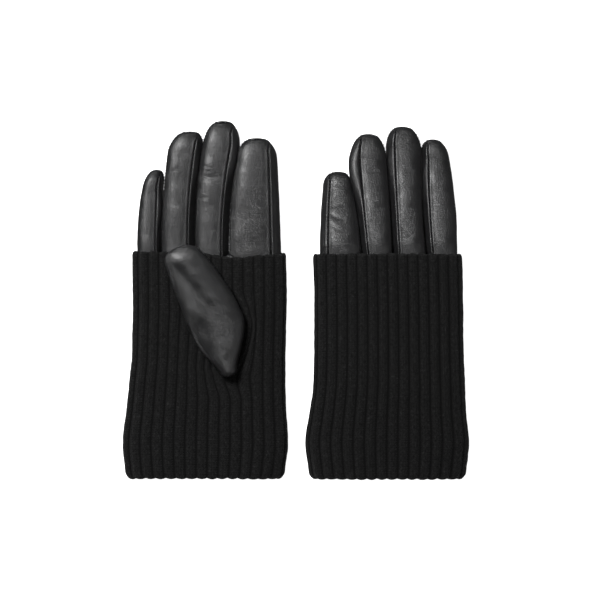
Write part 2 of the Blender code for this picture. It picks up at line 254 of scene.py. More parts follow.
def rolled_edge(distance):
    """Height of the leather near a seam, where it rolls in and swells beside it."""
    inside = np.clip(1 - distance / LIP_WIDTH, 0, 1)
    fall = -LIP_DEPTH * (1 - np.sqrt(1 - inside ** 2))
    swell = LIP_SWELL * np.exp(-((distance - 1.5 * LIP_WIDTH) / LIP_WIDTH) ** 2)
    return fall + swell


def rough(grid, size, seed):
    """Smooth unevenness with features of about that size, from -1 to 1."""
    shift = Vector((seed * 7.3, seed * 3.1, seed * 1.7))
    flat = grid.reshape(-1, 3) / size
    values = [noise.noise(Vector(point) + shift) for point in flat]
    return np.array(values).reshape(grid.shape[:2])


def crease(grid, start, end, width, depth):
    """A fold between two plan points: a furrow that runs out at both ends."""
    start, end = np.array(start), np.array(end)
    run = end - start
    offset = grid[:, :, :2] - start
    share = np.clip((offset @ run) / (run @ run), 0, 1)
    distance = np.linalg.norm(offset - share[:, :, None] * run, axis=2)
    run_out = np.sin(np.pi * np.clip(share, 0.04, 0.96)) ** 0.5
    return -depth * run_out * np.exp(-(distance / width) ** 2)


def edge_heavy(count, pull=0.12):
    """0 to 1 in steps that are finer at both ends."""
    even = np.linspace(0, 1, count + 1)
    return even - pull * np.sin(2 * np.pi * even)


def mesh_from_grid(name, grid, uv_mm, ring=False):
    """A grid primitive laid onto a table of points, with its real size as UVs."""
    rows, columns = grid.shape[:2]
    bpy.ops.object.select_all(action="DESELECT")
    bpy.ops.mesh.primitive_grid_add(x_subdivisions=columns - 1, y_subdivisions=rows - 1, size=1)
    obj = bpy.context.object
    obj.name = name
    obj.data.name = name
    obj.data.vertices.foreach_set("co", (grid * MM).reshape(-1))
    corner = np.empty(len(obj.data.loops), int)
    obj.data.loops.foreach_get("vertex_index", corner)
    obj.data.uv_layers[0].data.foreach_set("uv", uv_mm.reshape(-1, 2)[corner].reshape(-1))
    obj.data.update()
    if ring:
        bpy.ops.object.mode_set(mode="EDIT")
        bpy.ops.mesh.select_all(action="SELECT")
        bpy.ops.mesh.remove_doubles(threshold=0.00002)
        bpy.ops.object.mode_set(mode="OBJECT")
    return obj


def face_outward(obj, inside):
    """Turn the faces so that they point away from a point inside, in mm."""
    mesh = obj.data
    centre = Vector(inside) * MM
    outward = sum(p.area * p.normal.dot(p.center - centre) for p in mesh.polygons)
    if outward < 0:
        mesh.flip_normals()


def give_wall(obj, thickness):
    """Give a surface its thickness, inwards, and shade it smooth."""
    bpy.ops.object.select_all(action="DESELECT")
    bpy.context.view_layer.objects.active = obj
    obj.select_set(True)
    wall = obj.modifiers.new("wall", "SOLIDIFY")
    wall.thickness = thickness * MM
    wall.offset = -1
    bpy.ops.object.modifier_apply(modifier=wall.name)
    bpy.ops.object.shade_smooth()


def size_uvs(grid):
    """UVs in centimetres: across the piece, then along it."""
    return np.stack([arc_lengths(grid, 1), arc_lengths(grid, 0)], axis=2) / 10


# === Materials ===============================================================
def colour(hex_text):
    """An sRGB hex colour as linear values."""
    values = [int(hex_text[i:i + 2], 16) / 255 for i in (1, 3, 5)]
    linear = [v / 12.92 if v <= 0.04045 else ((v + 0.055) / 1.055) ** 2.4 for v in values]
    return (*linear, 1.0)


def feed(tree, made, links):
    """Link a node's sockets; a node given as the source stands for its first output."""
    for key, source in links.items():
        if isinstance(source, bpy.types.Node):
            source = source.outputs[0]
        tree.links.new(source, made.inputs[key])


def node(tree, kind, settings=None, inputs=None, links=None):
    """Add a node, set it and its sockets, and link sockets from other nodes."""
    made = tree.nodes.new(kind)
    for key, value in (settings or {}).items():
        setattr(made, key, value)
    for key, value in (inputs or {}).items():
        made.inputs[key].default_value = value
    feed(tree, made, links or {})
    return made


def new_material(name, base, roughness, **sockets):
    """A material with its constant values set on the shader itself."""
    material = bpy.data.materials.new(name)
    material.use_nodes = True
    tree = material.node_tree
    shader = tree.nodes["Principled BSDF"]
    shader.inputs["Base Color"].default_value = colour(base)
    shader.inputs["Roughness"].default_value = roughness
    for key, value in sockets.items():
        shader.inputs[key.replace("_", " ")].default_value = value
    return material, tree, shader


def nappa_leather():
    """Sheep nappa, drum-dyed black with a semi-matt finish: a soft broad sheen over fine grain."""
    material, tree, shader = new_material("black_nappa_leather", "#161617", 0.42,
                                          IOR=1.5, Coat_Weight=0.12, Coat_Roughness=0.3)
    # UVs are in centimetres, so a scale of 10 makes features of 1 mm: pores 0.9 mm apart,
    # grain of 0.6 mm, and patches of 11 mm in which the pores come and go.
    place = node(tree, "ShaderNodeTexCoord").outputs["UV"]
    pores = node(tree, "ShaderNodeTexVoronoi", {"feature": "DISTANCE_TO_EDGE"},
                 {"Scale": 11.0, "Randomness": 1.0}, {"Vector": place})
    grain = node(tree, "ShaderNodeTexNoise", None,
                 {"Scale": 16.0, "Detail": 4.0, "Roughness": 0.6}, {"Vector": place})
    patches = node(tree, "ShaderNodeTexNoise", None, {"Scale": 0.9, "Detail": 2.0}, {"Vector": place})
    stretched = node(tree, "ShaderNodeMapping", None, {"Scale": (2.2, 7.0, 1.0)}, {"Vector": place})
    lines = node(tree, "ShaderNodeTexNoise", None,
                 {"Scale": 1.0, "Detail": 5.0, "Roughness": 0.62, "Distortion": 0.5},
                 {"Vector": stretched})
    cells = node(tree, "ShaderNodeMapRange", None, {"From Min": 0.0, "From Max": 0.12},
                 {"Value": pores})
    strength = node(tree, "ShaderNodeMapRange", None,
                    {"From Min": 0.35, "From Max": 0.7, "To Min": 0.15, "To Max": 1.0},
                    {"Value": patches})
    fine = node(tree, "ShaderNodeMath", {"operation": "MULTIPLY"}, None, {0: cells, 1: strength})
    mixed = node(tree, "ShaderNodeMath", {"operation": "ADD"}, None, {0: fine, 1: grain})
    fine_bump = node(tree, "ShaderNodeBump", None, {"Strength": 0.4, "Distance": 0.0003},
                     {"Height": mixed})
    line_bump = node(tree, "ShaderNodeBump", None, {"Strength": 0.2, "Distance": 0.0006},
                     {"Height": lines, "Normal": fine_bump})
    gloss = node(tree, "ShaderNodeMapRange", None,
                 {"From Min": 0.3, "From Max": 0.7, "To Min": 0.31, "To Max": 0.43},
                 {"Value": patches})
    tone = node(tree, "ShaderNodeMix", {"data_type": "RGBA"},
                {6: colour("#0f0f10"), 7: colour("#171718")}, {0: grain})
    feed(tree, shader, {"Normal": line_bump, "Roughness": gloss, "Base Color": tone.outputs[2]})
    return material


def rib_knit():
    """Black lambswool, 2x2 rib knit and lightly felted: matt, with loose pale fibres."""
    material, tree, shader = new_material("black_wool_rib_knit", "#0d0d0d", 0.95,
                                          Specular_IOR_Level=0.12, Sheen_Weight=0.03,
                                          Sheen_Roughness=0.6)
    # U counts ribs and V counts centimetres of knit.
    place = node(tree, "ShaderNodeTexCoord").outputs["UV"]
    parts = node(tree, "ShaderNodeSeparateXYZ", None, None, {"Vector": place})
    wales = node(tree, "ShaderNodeMath", {"operation": "MULTIPLY"}, {1: 4.0}, {0: parts.outputs["X"]})
    across = node(tree, "ShaderNodeMath", {"operation": "PINGPONG"}, {1: 0.5}, {0: wales})
    # Courses 1.6 mm apart, so 6.25 in a centimetre.
    courses = node(tree, "ShaderNodeMath", {"operation": "MULTIPLY_ADD"}, {1: 6.25},
                   {0: parts.outputs["Y"], 2: across})
    loop = node(tree, "ShaderNodeMath", {"operation": "PINGPONG"}, {1: 0.5}, {0: courses})
    yarn = node(tree, "ShaderNodeMath", {"operation": "MULTIPLY"}, None, {0: loop, 1: across})
    # The felted yarn is uneven over 1.1 mm, and its loose fibres gather every 2 mm.
    object_place = node(tree, "ShaderNodeTexCoord").outputs["Object"]
    felt = node(tree, "ShaderNodeTexNoise", None,
                {"Scale": 900.0, "Detail": 4.0, "Roughness": 0.7}, {"Vector": object_place})
    yarn_bump = node(tree, "ShaderNodeBump", None, {"Strength": 0.9, "Distance": 0.0022},
                     {"Height": yarn})
    felt_bump = node(tree, "ShaderNodeBump", None, {"Strength": 0.5, "Distance": 0.0005},
                     {"Height": felt, "Normal": yarn_bump})
    fibres = node(tree, "ShaderNodeTexNoise", None,
                  {"Scale": 480.0, "Detail": 4.0, "Roughness": 0.85}, {"Vector": object_place})
    mottle = node(tree, "ShaderNodeMapRange", None, {"From Min": 0.36, "From Max": 0.62},
                  {"Value": felt})
    ground = node(tree, "ShaderNodeMix", {"data_type": "RGBA"},
                  {6: colour("#050505"), 7: colour("#1a1a1a")}, {0: mottle})
    pale = node(tree, "ShaderNodeMapRange", None, {"From Min": 0.56, "From Max": 0.78},
                {"Value": fibres})
    tone = node(tree, "ShaderNodeMix", {"data_type": "RGBA"}, {7: colour("#303030")},
                {0: pale, 6: ground.outputs[2]})
    # Painted shade: the yarn's colour is darkened between the felted ribs, where less light gets down.
    rib = node(tree, "ShaderNodeMath", {"operation": "PINGPONG"}, {1: 0.5}, {0: parts.outputs["X"]})
    rib_shade_mask = node(tree, "ShaderNodeMapRange", {"interpolation_type": "SMOOTHSTEP"},
                 {"From Min": 0.02, "From Max": 0.2, "To Min": 0.1, "To Max": 1.0},
                 {"Value": rib})
    # Painted shade: near-black mixed into the colour where the mask is low, in the rib valleys.
    shade_painted_colour = node(tree, "ShaderNodeMix", {"data_type": "RGBA"}, {6: colour("#020202")},
                  {0: rib_shade_mask, 7: tone.outputs[2]})
    feed(tree, shader, {"Normal": felt_bump, "Base Color": shade_painted_colour.outputs[2]})
    return material


def fleece_lining():
    """Brushed polyester fleece, dyed charcoal: a soft nap with no shine."""
    material, tree, shader = new_material("charcoal_fleece_lining", "#2a2a2c", 0.95,
                                          Sheen_Weight=0.25, Sheen_Roughness=0.7)
    # Tufts of nap 1.7 mm apart.
    place = node(tree, "ShaderNodeTexCoord").outputs["Object"]
    nap = node(tree, "ShaderNodeTexNoise", None,
               {"Scale": 600.0, "Detail": 5.0, "Roughness": 0.75}, {"Vector": place})
    bump = node(tree, "ShaderNodeBump", None, {"Strength": 0.8, "Distance": 0.001}, {"Height": nap})
    tone = node(tree, "ShaderNodeMix", {"data_type": "RGBA"},
                {6: colour("#1f1f21"), 7: colour("#3b3b3e")}, {0: nap})
    feed(tree, shader, {"Normal": bump, "Base Color": tone.outputs[2]})
    return material


def twill_tape():
    """Woven polyester twill tape, black: fine slanting ribs with a slight lustre."""
    material, tree, shader = new_material("black_twill_tape", "#19191b", 0.6, Sheen_Weight=0.1)
    place = node(tree, "ShaderNodeTexCoord").outputs["Object"]
    turned = node(tree, "ShaderNodeMapping", None,
                  {"Rotation": (0.0, 0.0, math.radians(45))}, {"Vector": place})
    # A wave at scale 1 repeats every 0.314 m, so 350 sets the twill lines 0.9 mm apart.
    twill = node(tree, "ShaderNodeTexWave", None, {"Scale": 350.0, "Distortion": 0.3},
                 {"Vector": turned})
    bump = node(tree, "ShaderNodeBump", None, {"Strength": 0.4, "Distance": 0.0003},
                {"Height": twill.outputs["Fac"]})
    feed(tree, shader, {"Normal": bump})
    return material


def sewing_thread():
    """Bonded polyester thread, black, with a little more shine than the leather."""
    material, tree, shader = new_material("black_sewing_thread", "#363638", 0.35)
    place = node(tree, "ShaderNodeTexCoord").outputs["Object"]
    # Its plies are 0.35 mm apart.
    twist = node(tree, "ShaderNodeTexWave", None, {"Scale": 900.0, "Distortion": 1.0},
                 {"Vector": place})
    bump = node(tree, "ShaderNodeBump", None, {"Strength": 0.4, "Distance": 0.0001},
                {"Height": twist.outputs["Fac"]})
    feed(tree, shader, {"Normal": bump})
    return material


# Each finish: its material and the record's slot that it stands for.
LEATHER = (nappa_leather(), "leather")
KNIT = (rib_knit(), "rib_knit")
FLEECE = (fleece_lining(), "lining")
TAPE = (twill_tape(), "tape")
THREAD = (sewing_thread(), "leather")


def dress(obj, finish):
    """Give a piece its material."""
    material, slot = finish
    obj.data.materials.clear()
    obj.data.materials.append(material)


def make_piece(name, surface, uv, centre, wall, finish, *replaced, ring=False):
    """One sewn or knitted piece, with a wall, a finish and the CAD nodes that it replaces."""
    obj = mesh_from_grid(name, surface, uv, ring)
    face_outward(obj, centre)
    give_wall(obj, wall)
    dress(obj, finish)
    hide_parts(*replaced)
    return obj


def cloth_tube(name, base, centre, lift, wall, finish, replaced):
    """A tube of cloth or leather: its first and last columns are one line."""
    base[:, -1] = base[:, 0]
    lift[:, -1] = lift[:, 0]
    return make_piece(name, raise_grid(base, centre, lift), size_uvs(base), centre, wall, finish,
                      replaced, ring=True)


# === Fingers =================================================================
def fade(values, start, end):
    """0 before start, 1 after end, smooth between."""
    share = np.clip((values - start) / (end - start), 0, 1)
    return share * share * (3 - 2 * share)


def read_finger(side, finger):
    """The finger's sections from under the cuff to the tip, as arrays."""
    nodes = leather_nodes(side, finger)
    corners = corners_of(*nodes)
    # The CAD has a section at the root, one half way up and one at the shoulder.
    levels = np.unique(np.round(corners[:, 1], 1))
    levels = levels[np.concatenate([[True], np.diff(levels) > 0.25])]
    root, _, shoulder = levels[:3]
    last = corners[corners[:, 1] > corners[:, 1].max() - 0.1]
    tip_y = shoulder + (last[:, 1].max() - shoulder) / math.sin(math.radians(CAD_TIP_TURN))
    tip_x = last[:, 0].mean()

    # The left, right, low and high edges each follow a parabola up to the shoulder.
    table = slice_extents(nodes, (root + 0.15, levels[1], shoulder - 0.15))
    edges = [np.polyfit(levels[:3], table[:, i], 2) for i in range(4)]
    body = np.arange(root - UNDER_CUFF, shoulder - 0.7, ROW_STEP)
    extents = np.array([np.polyval(edge, np.maximum(body, root)) for edge in edges]).T
    for i, sign in ((0, -1), (1, 1)):
        slope = np.polyval(np.polyder(edges[i]), root)
        extents[:, i] += slope * np.minimum(body - root, 0) + sign * PLUMP
    centre = (extents[:, 2] + extents[:, 3]) / 2
    half = (extents[:, 3] - extents[:, 2]) / 2
    half = half + (np.minimum(half, CUFFED_HALF) - half) * fade(root - body, 4.5, 11)

    turns = np.radians(np.arange(0, 91, 4.5))
    left, right, low, high = (np.polyval(edge, shoulder) for edge in edges)
    mid_x, reach = (left + right) / 2, (right - left) / 2 + PLUMP
    mid_z, rise = (low + high) / 2, (high - low) / 2
    blunt = np.maximum(np.cos(turns), 0.004) ** TIP_BLUNT
    tip_mid = mid_x + (tip_x - mid_x) * np.sin(turns)
    return {
        "y": np.concatenate([body, shoulder + (tip_y - shoulder) * np.sin(turns)]),
        "left": np.concatenate([extents[:, 0], tip_mid - reach * blunt]),
        "right": np.concatenate([extents[:, 1], tip_mid + reach * blunt]),
        "low": np.concatenate([centre - half, mid_z - rise * blunt]),
        "high": np.concatenate([centre + half, mid_z + rise * blunt]),
        "turn": np.concatenate([np.full(len(body), -1.0), np.degrees(turns)]),
        "root": root,
    }


def seam_angles(finger, turn):
    """Where the seams run at each section, as angles, by the panels' edges."""
    outer = OUTER_SEAM * (1 - 0.8 * fade(turn, 20, TIP_SEAM))
    late = fade(turn, 45, TIP_STRIP_END)
    early = fade(turn, 25, TIP_STRIP_END)
    # Round the tip the seams on each side of a strip run together.
    palm_right = SEAM_ROLL + STRIP_HALF + (8 - SEAM_ROLL - STRIP_HALF) * early
    back_right = SEAM_ROLL - STRIP_HALF + (8 - SEAM_ROLL + STRIP_HALF) * late
    palm_left = 180 + SEAM_ROLL - STRIP_HALF + (-10 - SEAM_ROLL + STRIP_HALF) * early
    back_left = 180 + SEAM_ROLL + STRIP_HALF + (-10 - SEAM_ROLL - STRIP_HALF) * late
    if finger == "index":
        palm_right = back_right = outer
    if finger == "little":
        palm_left = back_left = 180 + outer
    return palm_right, palm_left, back_left, back_right + 360


def finger_grid(shape, palm_up, rows, start, end, columns):
    """Points of a strip between two edge angles, each an array over its rows."""
    angles = start[:, None] + (end - start)[:, None] * edge_heavy(columns)[None, :]
    left, right, low, high = (shape[key][rows][:, None] for key in ("left", "right", "low", "high"))
    x, z = section_point(left, right, low, high, FINGER_POWER, palm_up * angles)
    x = x - palm_up * FINGER_SKEW * (z - (low + high) / 2) / CUFFED_HALF
    y = np.broadcast_to(shape["y"][rows][:, None], x.shape)
    return np.stack([x, y, z], axis=2)


def leather_lift(grid, seed, far_seam=False, wrinkle=1.0):
    """How far the leather stands off its smooth shape: rolled edges, dents and puckers."""
    across = arc_lengths(grid, 1)
    edge = np.minimum(across, across[:, -1:] - across)
    along = arc_lengths(grid, 0)
    if far_seam:
        edge = np.minimum(edge, along[-1:] - along)
    dents = BROAD_DENTS * rough(grid, 17, seed) + SMALL_DENTS * rough(grid, 6, seed + 9)
    dents += wrinkle * FINE_WRINKLES * rough(grid * np.array([0.5, 2.2, 1.0]), 5, seed + 4)
    pucker = 0.5 + 0.5 * np.sin(np.pi * along / STITCH_STEP)
    near = np.exp(-((edge - 1.6) / 1.3) ** 2)
    return rolled_edge(edge) + dents * fade(edge, 0, 4) - PUCKER * near * pucker


# Each finger's side strips: the edge they close, and how their CAD nodes' names end.
STRIPS = {
    "index": {"left": ""},
    "middle": {"left": "_b", "right": "_a"},
    "ring": {"left": "_b", "right": "_a"},
    "little": {"right": ""},
}

# How far a side strip is pushed out near its fingertip.
STRIP_BULGES = {
    ("left", "ring", "left"): 4.9,
    ("left", "middle", "left"): 1.8,
    ("left", "index", "left"): 1.7,
    ("right", "middle", "right"): 2.7,
    ("right", "ring", "right"): 1.6,
    ("right", "little", "right"): 2.6,
}

# Folds: finger, panel, then across and along it, from the left edge and the
# tip: start, end, width and depth in mm.
FOLDS = {
    ("right", "middle", "palm"): (
        ((1, 30), (9, 32), 0.5, 0.32),
        ((1, 33), (9, 34.5), 0.5, 0.35),
        ((1, 36), (10, 38), 0.5, 0.35),
        ((1, 39.5), (13, 38.5), 0.6, 0.4),
        ((3, 37.5), (15, 37), 3.0, 0.5),
        ((8, 41), (16, 42.5), 0.7, 0.3),
        ((0.5, 52), (8, 52), 0.4, 0.55),
    ),
    ("right", "little", "palm"): (
        ((8, 2), (10, 15), 1.0, 1.5),
        ((4, 17), (8, 15), 0.6, 0.3),
        ((4, 19.5), (9, 17.5), 0.5, 0.3),
    ),
    ("right", "ring", "palm"): (
        ((2, 27), (12, 24.5), 0.8, 0.15),
        ((8, 66), (18, 60), 0.8, 0.15),
    ),
    ("right", "index", "palm"): (
        ((20, 34), (30, 36), 0.5, 0.15),
        ((20, 41), (31, 43), 0.5, 0.2),
        ((20, 44), (31, 45.5), 0.5, 0.2),
    ),
    ("left", "little", "back"): (
        ((4, 25), (13, 21), 0.8, 0.3),
        ((5, 28), (14, 33), 0.9, 0.45),
        ((5, 34), (13, 40), 0.8, 0.3),
    ),
    ("left", "ring", "back"): (
        ((8, 66), (16, 71), 0.8, 0.4),
        ((8, 71), (18, 74), 0.8, 0.4),
    ),
    ("left", "middle", "back"): (
        ((6, 68), (14, 73), 0.8, 0.4),
        ((7, 76), (15, 73), 0.8, 0.35),
    ),
}


def fold_lift(side, finger, panel, grid, shape):
    """The folds of one panel, placed from its left edge and its tip."""
    lift = np.zeros(grid.shape[:2])
    for start, end, width, depth in FOLDS.get((side, finger, panel), ()):
        ends = []
        for across, down in (start, end):
            y = shape["y"].max() - down
            ends.append((np.interp(y, shape["y"], shape["left"]) + across, y))
        lift += crease(grid, *ends, width, depth)
    return lift


def lay_stitches(path, normals):
    """Stitch places along a seam: centre, direction and normal of each."""
    lengths = np.concatenate([[0], np.cumsum(np.linalg.norm(np.diff(path, axis=0), axis=1))])
    places = np.arange(STITCH_STEP, lengths[-1] - STITCH_STEP, STITCH_STEP)

    def read(values, at):
        return np.stack([np.interp(at, lengths, values[:, i]) for i in range(3)], axis=1)

    centre = read(path, places)
    direction = read(path, places + 0.4) - centre
    normal = read(normals, places)
    direction /= np.linalg.norm(direction, axis=1, keepdims=True)
    normal /= np.linalg.norm(normal, axis=1, keepdims=True)
    return centre, direction, normal


def stitch_mesh(name, seams):
    """All the stitches of some seams: short rounded threads across each groove."""
    mesh = bmesh.new()
    for path, normals in seams:
        for centre, direction, normal in zip(*lay_stitches(path, normals)):
            lean = STITCH_LEAN * direction + np.cross(direction, normal)
            lean /= np.linalg.norm(lean)
            aside = np.cross(lean, normal)
            rings = []
            for share, girth in STITCH_PROFILE:
                middle = centre + lean * STITCH_LENGTH * share + normal * (0.2 - 1.6 * share * share)
                ring = []
                for i in range(STITCH_SIDES):
                    angle = 2 * math.pi * i / STITCH_SIDES
                    outward = aside * math.cos(angle) + normal * math.sin(angle)
                    ring.append(mesh.verts.new((middle + outward * girth * STITCH_THICK / 2) * MM))
                rings.append(ring)
            for first, second in zip(rings, rings[1:]):
                for i in range(STITCH_SIDES):
                    j = (i + 1) % STITCH_SIDES
                    mesh.faces.new((first[i], first[j], second[j], second[i]))
            mesh.faces.new(rings[0][::-1])
            mesh.faces.new(rings[-1])
    bmesh.ops.recalc_face_normals(mesh, faces=mesh.faces)
    data = bpy.data.meshes.new(name)
    mesh.to_mesh(data)
    mesh.free()
    data.shade_smooth()
    obj = bpy.data.objects.new(name, data)
    bpy.context.scene.collection.objects.link(obj)
    dress(obj, THREAD)
    return obj


def seam_path(grid, centre, column):
    """The line of a panel's edge, and its outward normals."""
    normals = outward_normals(grid, centre)
    return grid[:, column], normals[:, column]


def hang_finger(obj):
    """Bake the place of a finger's leather, lining or stitches into its mesh."""
    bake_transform(obj)


def fleece_nap(base, seed, fine=0.2, broad=0.15, size=11):
    """The unevenness of brushed fleece: a fine nap on broader dents."""
    return fine * rough(base, 4, seed + 3) + broad * rough(base, size, seed + 5)


def build_finger_lining(side, finger, shape, seed):
    """The fleece stall inside a finger, a little smaller than the leather all round."""
    rows = np.nonzero(shape["y"] >= shape["root"] - LINING_UNDER_CUFF)[0]
    inner = {}
    for low_key, high_key in (("left", "right"), ("low", "high")):
        middle = (shape[low_key] + shape[high_key]) / 2
        half = (shape[high_key] - shape[low_key]) / 2
        half = half * (1 - LINING_INSET / half[: len(half) // 2].mean())
        inner[low_key], inner[high_key] = middle - half, middle + half
    inner["y"] = shape["y"] - LINING_INSET * fade(shape["turn"], 0, 90)
    start = np.zeros(len(rows))
    base = finger_grid(inner, SIDES[side], rows, start, start + 360, LINING_COLUMNS)
    centre = base.reshape(-1, 3).mean(axis=0)
    obj = cloth_tube(f"{side}_{finger}_fleece_stall", base, centre, fleece_nap(base, seed),
                     STALL_WALL, FLEECE, f"{side}_{finger}_lining")
    hang_finger(obj)


def build_finger(side, finger, seed):
    palm_up = SIDES[side]
    shape = read_finger(side, finger)
    turn = shape["turn"]
    before_seam = np.nonzero(turn <= TIP_SEAM)[0]
    palm_right, palm_left, back_left, back_right = seam_angles(finger, turn)
    centre = np.array([(shape["left"].mean() + shape["right"].mean()) / 2, shape["y"].mean(),
                       (shape["low"].mean() + shape["high"].mean()) / 2])

    def sew_panel(panel, cloth, base, lift):
        name = f"{side}_{finger}_{panel}"
        obj = make_piece(f"{name}_{cloth}", raise_grid(base, centre, lift), size_uvs(base), centre,
                         SKIN, LEATHER, name)
        hang_finger(obj)

    # The palm and the back wrap round the outer side of the little and the index finger.
    columns = WIDE_COLUMNS if finger == "little" else PANEL_COLUMNS
    base = finger_grid(shape, palm_up, before_seam, palm_right[before_seam] + SEAM_GAP,
                       palm_left[before_seam] - SEAM_GAP, columns)
    seams = [seam_path(base, centre, 0), seam_path(base, centre, -1),
             seam_path(np.swapaxes(base, 0, 1), centre, -1)]
    lift = leather_lift(base, seed, far_seam=True) + fold_lift(side, finger, "palm", base, shape)
    sew_panel("palm", "leather", base, lift)

    # The back closes over the tip, onto the palm's middle line.
    columns = WIDE_COLUMNS if finger == "index" else PANEL_COLUMNS
    closing = fade(turn, TIP_SEAM - 1, TIP_SEAM + 6)
    start = back_left + SEAM_GAP + (90 - back_left - SEAM_GAP) * closing
    end = back_right - SEAM_GAP + (450 - back_right + SEAM_GAP) * closing
    base = finger_grid(shape, palm_up, np.arange(len(turn)), start, end, columns)
    seams += [seam_path(base[before_seam], centre, 0), seam_path(base[before_seam], centre, -1)]
    lift = leather_lift(base, seed + 20) * (turn <= TIP_SEAM + 3)[:, None]
    sew_panel("back", "leather", base, lift + fold_lift(side, finger, "back", base, shape))

    strip_rows = np.nonzero(turn <= TIP_STRIP_END - 4)[0]
    edges = {"right": (back_right - 360, palm_right), "left": (palm_left, back_left)}
    for edge, ending in STRIPS[finger].items():
        low, high = edges[edge]
        base = finger_grid(shape, palm_up, strip_rows, low[strip_rows] + SEAM_GAP,
                           high[strip_rows] - SEAM_GAP, STRIP_COLUMNS)
        across = arc_lengths(base, 1)
        down = shape["y"].max() - base[:, :, 1]
        bulge = STRIP_BULGES.get((side, finger, edge), PLAIN_BULGE)
        puffed = bulge * np.exp(-((down - BULGE_DOWN) / BULGE_RUN) ** 2) - STRIP_HOLLOW
        hollow = puffed * np.sin(np.pi * across / across[:, -1:])
        sew_panel(f"fourchette{ending}", "strip", base, leather_lift(base, seed + 40) + hollow)

    build_finger_lining(side, finger, shape, seed)
    shown = []
    for path, normals in seams:
        clear = path[:, 1] > shape["root"] - STITCHES_UNDER_CUFF
        shown.append((path[clear], normals[clear]))
    hang_finger(stitch_mesh(f"{side}_{finger}_stitches", shown))


# === Thumb ===================================================================
def read_thumb(side):
    """The thumb's sections in its own axes, from its root to its tip."""
    corners = corners_of(f"{side}_thumb_front", f"{side}_thumb_back")
    hinge = np.array(hinge_of(f"{side}_thumb_lift")) / MM
    along_axis = np.array([-math.sin(THUMB_LEAN), math.cos(THUMB_LEAN)])
    across_axis = np.array([math.cos(THUMB_LEAN), math.sin(THUMB_LEAN)])
    flat = corners[:, :2] - hinge[:2]
    along, across = flat @ along_axis, flat @ across_axis
    rows = [across[np.abs(along - level) < 1.2] for level in THUMB_LEVELS]
    body = np.arange(THUMB_LEVELS[0], THUMB_LEVELS[-1], ROW_STEP)
    left = smooth_steps(np.interp(body, THUMB_LEVELS, [row.min() for row in rows]), 2.0)
    right = smooth_steps(np.interp(body, THUMB_LEVELS, [row.max() for row in rows]), 2.0)
    right = right + THUMB_PLUMP * fade(body, 36, 50)
    middle = (left + right) / 2
    reach = (right - left) / 2

    tip = np.radians(np.arange(5, 91, 5))
    root = np.radians(np.arange(85, 4, -10))
    at_tip, at_root = np.cos(tip) ** 0.75, np.cos(root) ** 0.8
    reach = np.concatenate([reach[0] * at_root, reach, reach[-1] * at_tip])
    return {
        "steps": np.concatenate([body[0] - THUMB_ROOT_ROUND * np.sin(root), body,
                                 body[-1] + THUMB_TIP_ROUND * np.sin(tip)]),
        "middle": np.concatenate([np.full(len(root), middle[0]), middle,
                                  middle[-1] - THUMB_TIP_ASIDE * np.sin(tip)]),
        "reach": np.maximum(reach, CLOSED_HALF),
        "rise": np.concatenate([at_root ** 0.7, np.ones(len(body)), at_tip]),
        "hinge": hinge,
        "along": along_axis,
        "across": across_axis,
        "low": corners[:, 2].min(),
        "high": corners[:, 2].max(),
    }


def thumb_grid(thumb, palm_up, start, end, columns):
    """Points of one half of the thumb between two edge angles, arrays over its rows."""
    middle, reach = thumb["middle"][:, None], thumb["reach"][:, None]
    mid_z = (thumb["low"] + thumb["high"]) / 2
    rise = np.maximum((thumb["high"] - thumb["low"]) / 2 * thumb["rise"][:, None], CLOSED_HALF)
    angles = start[:, None] + (end - start)[:, None] * edge_heavy(columns)
    x, z = section_point(middle - reach, middle + reach, mid_z - rise, mid_z + rise,
                         THUMB_POWER, palm_up * angles)
    flat = (thumb["hinge"][:2] + thumb["steps"][:, None, None] * thumb["along"]
            + x[:, :, None] * thumb["across"])
    return np.concatenate([flat, z[:, :, None]], axis=2)


def thumb_folds(thumb, base):
    """The outer half's furrow with a swell beside it, its plump spot and its flap."""
    furrow_depth, furrow_half = 1.3, 3.2
    swell_height, swell_aside, swell_half = 0.5, 8, 5
    spot_height, spot_along, spot_aside, spot_slant = 0.5, 47, 14.5, 0.6
    hollow_depth, ridge_height, ridge_in, ridge_half = 0.8, 0.9, 3.6, 0.8

    along = thumb["steps"][:, None]
    across = (base[:, :, :2] - thumb["hinge"][:2]) @ thumb["across"]
    furrow = -6.1 - 0.3 * (along - 52)
    run = fade(along, 30, 48) * (1 - fade(along, 66, 84))
    lift = -furrow_depth * run * np.exp(-((across - furrow) / furrow_half) ** 2)
    lift += swell_height * run * np.exp(-((across - furrow - swell_aside) / swell_half) ** 2)
    # A plump spot where the leather folds over, half way up on the left.
    spot = ((along - spot_along) / 8) ** 2
    spot = spot + ((across + spot_aside - spot_slant * (spot_along - along)) / 4.5) ** 2
    lift += spot_height * np.exp(-spot)
    # Below it the leather sinks towards the flap at the edge.
    low_down = fade(along, 8, 18) * (1 - fade(along, 30, 42))
    lift -= hollow_depth * fade(-across, 6, 17) * low_down
    arc = arc_lengths(base, 1)
    lift += ridge_height * low_down * np.exp(-((arc[:, -1:] - arc - ridge_in) / ridge_half) ** 2)
    return lift


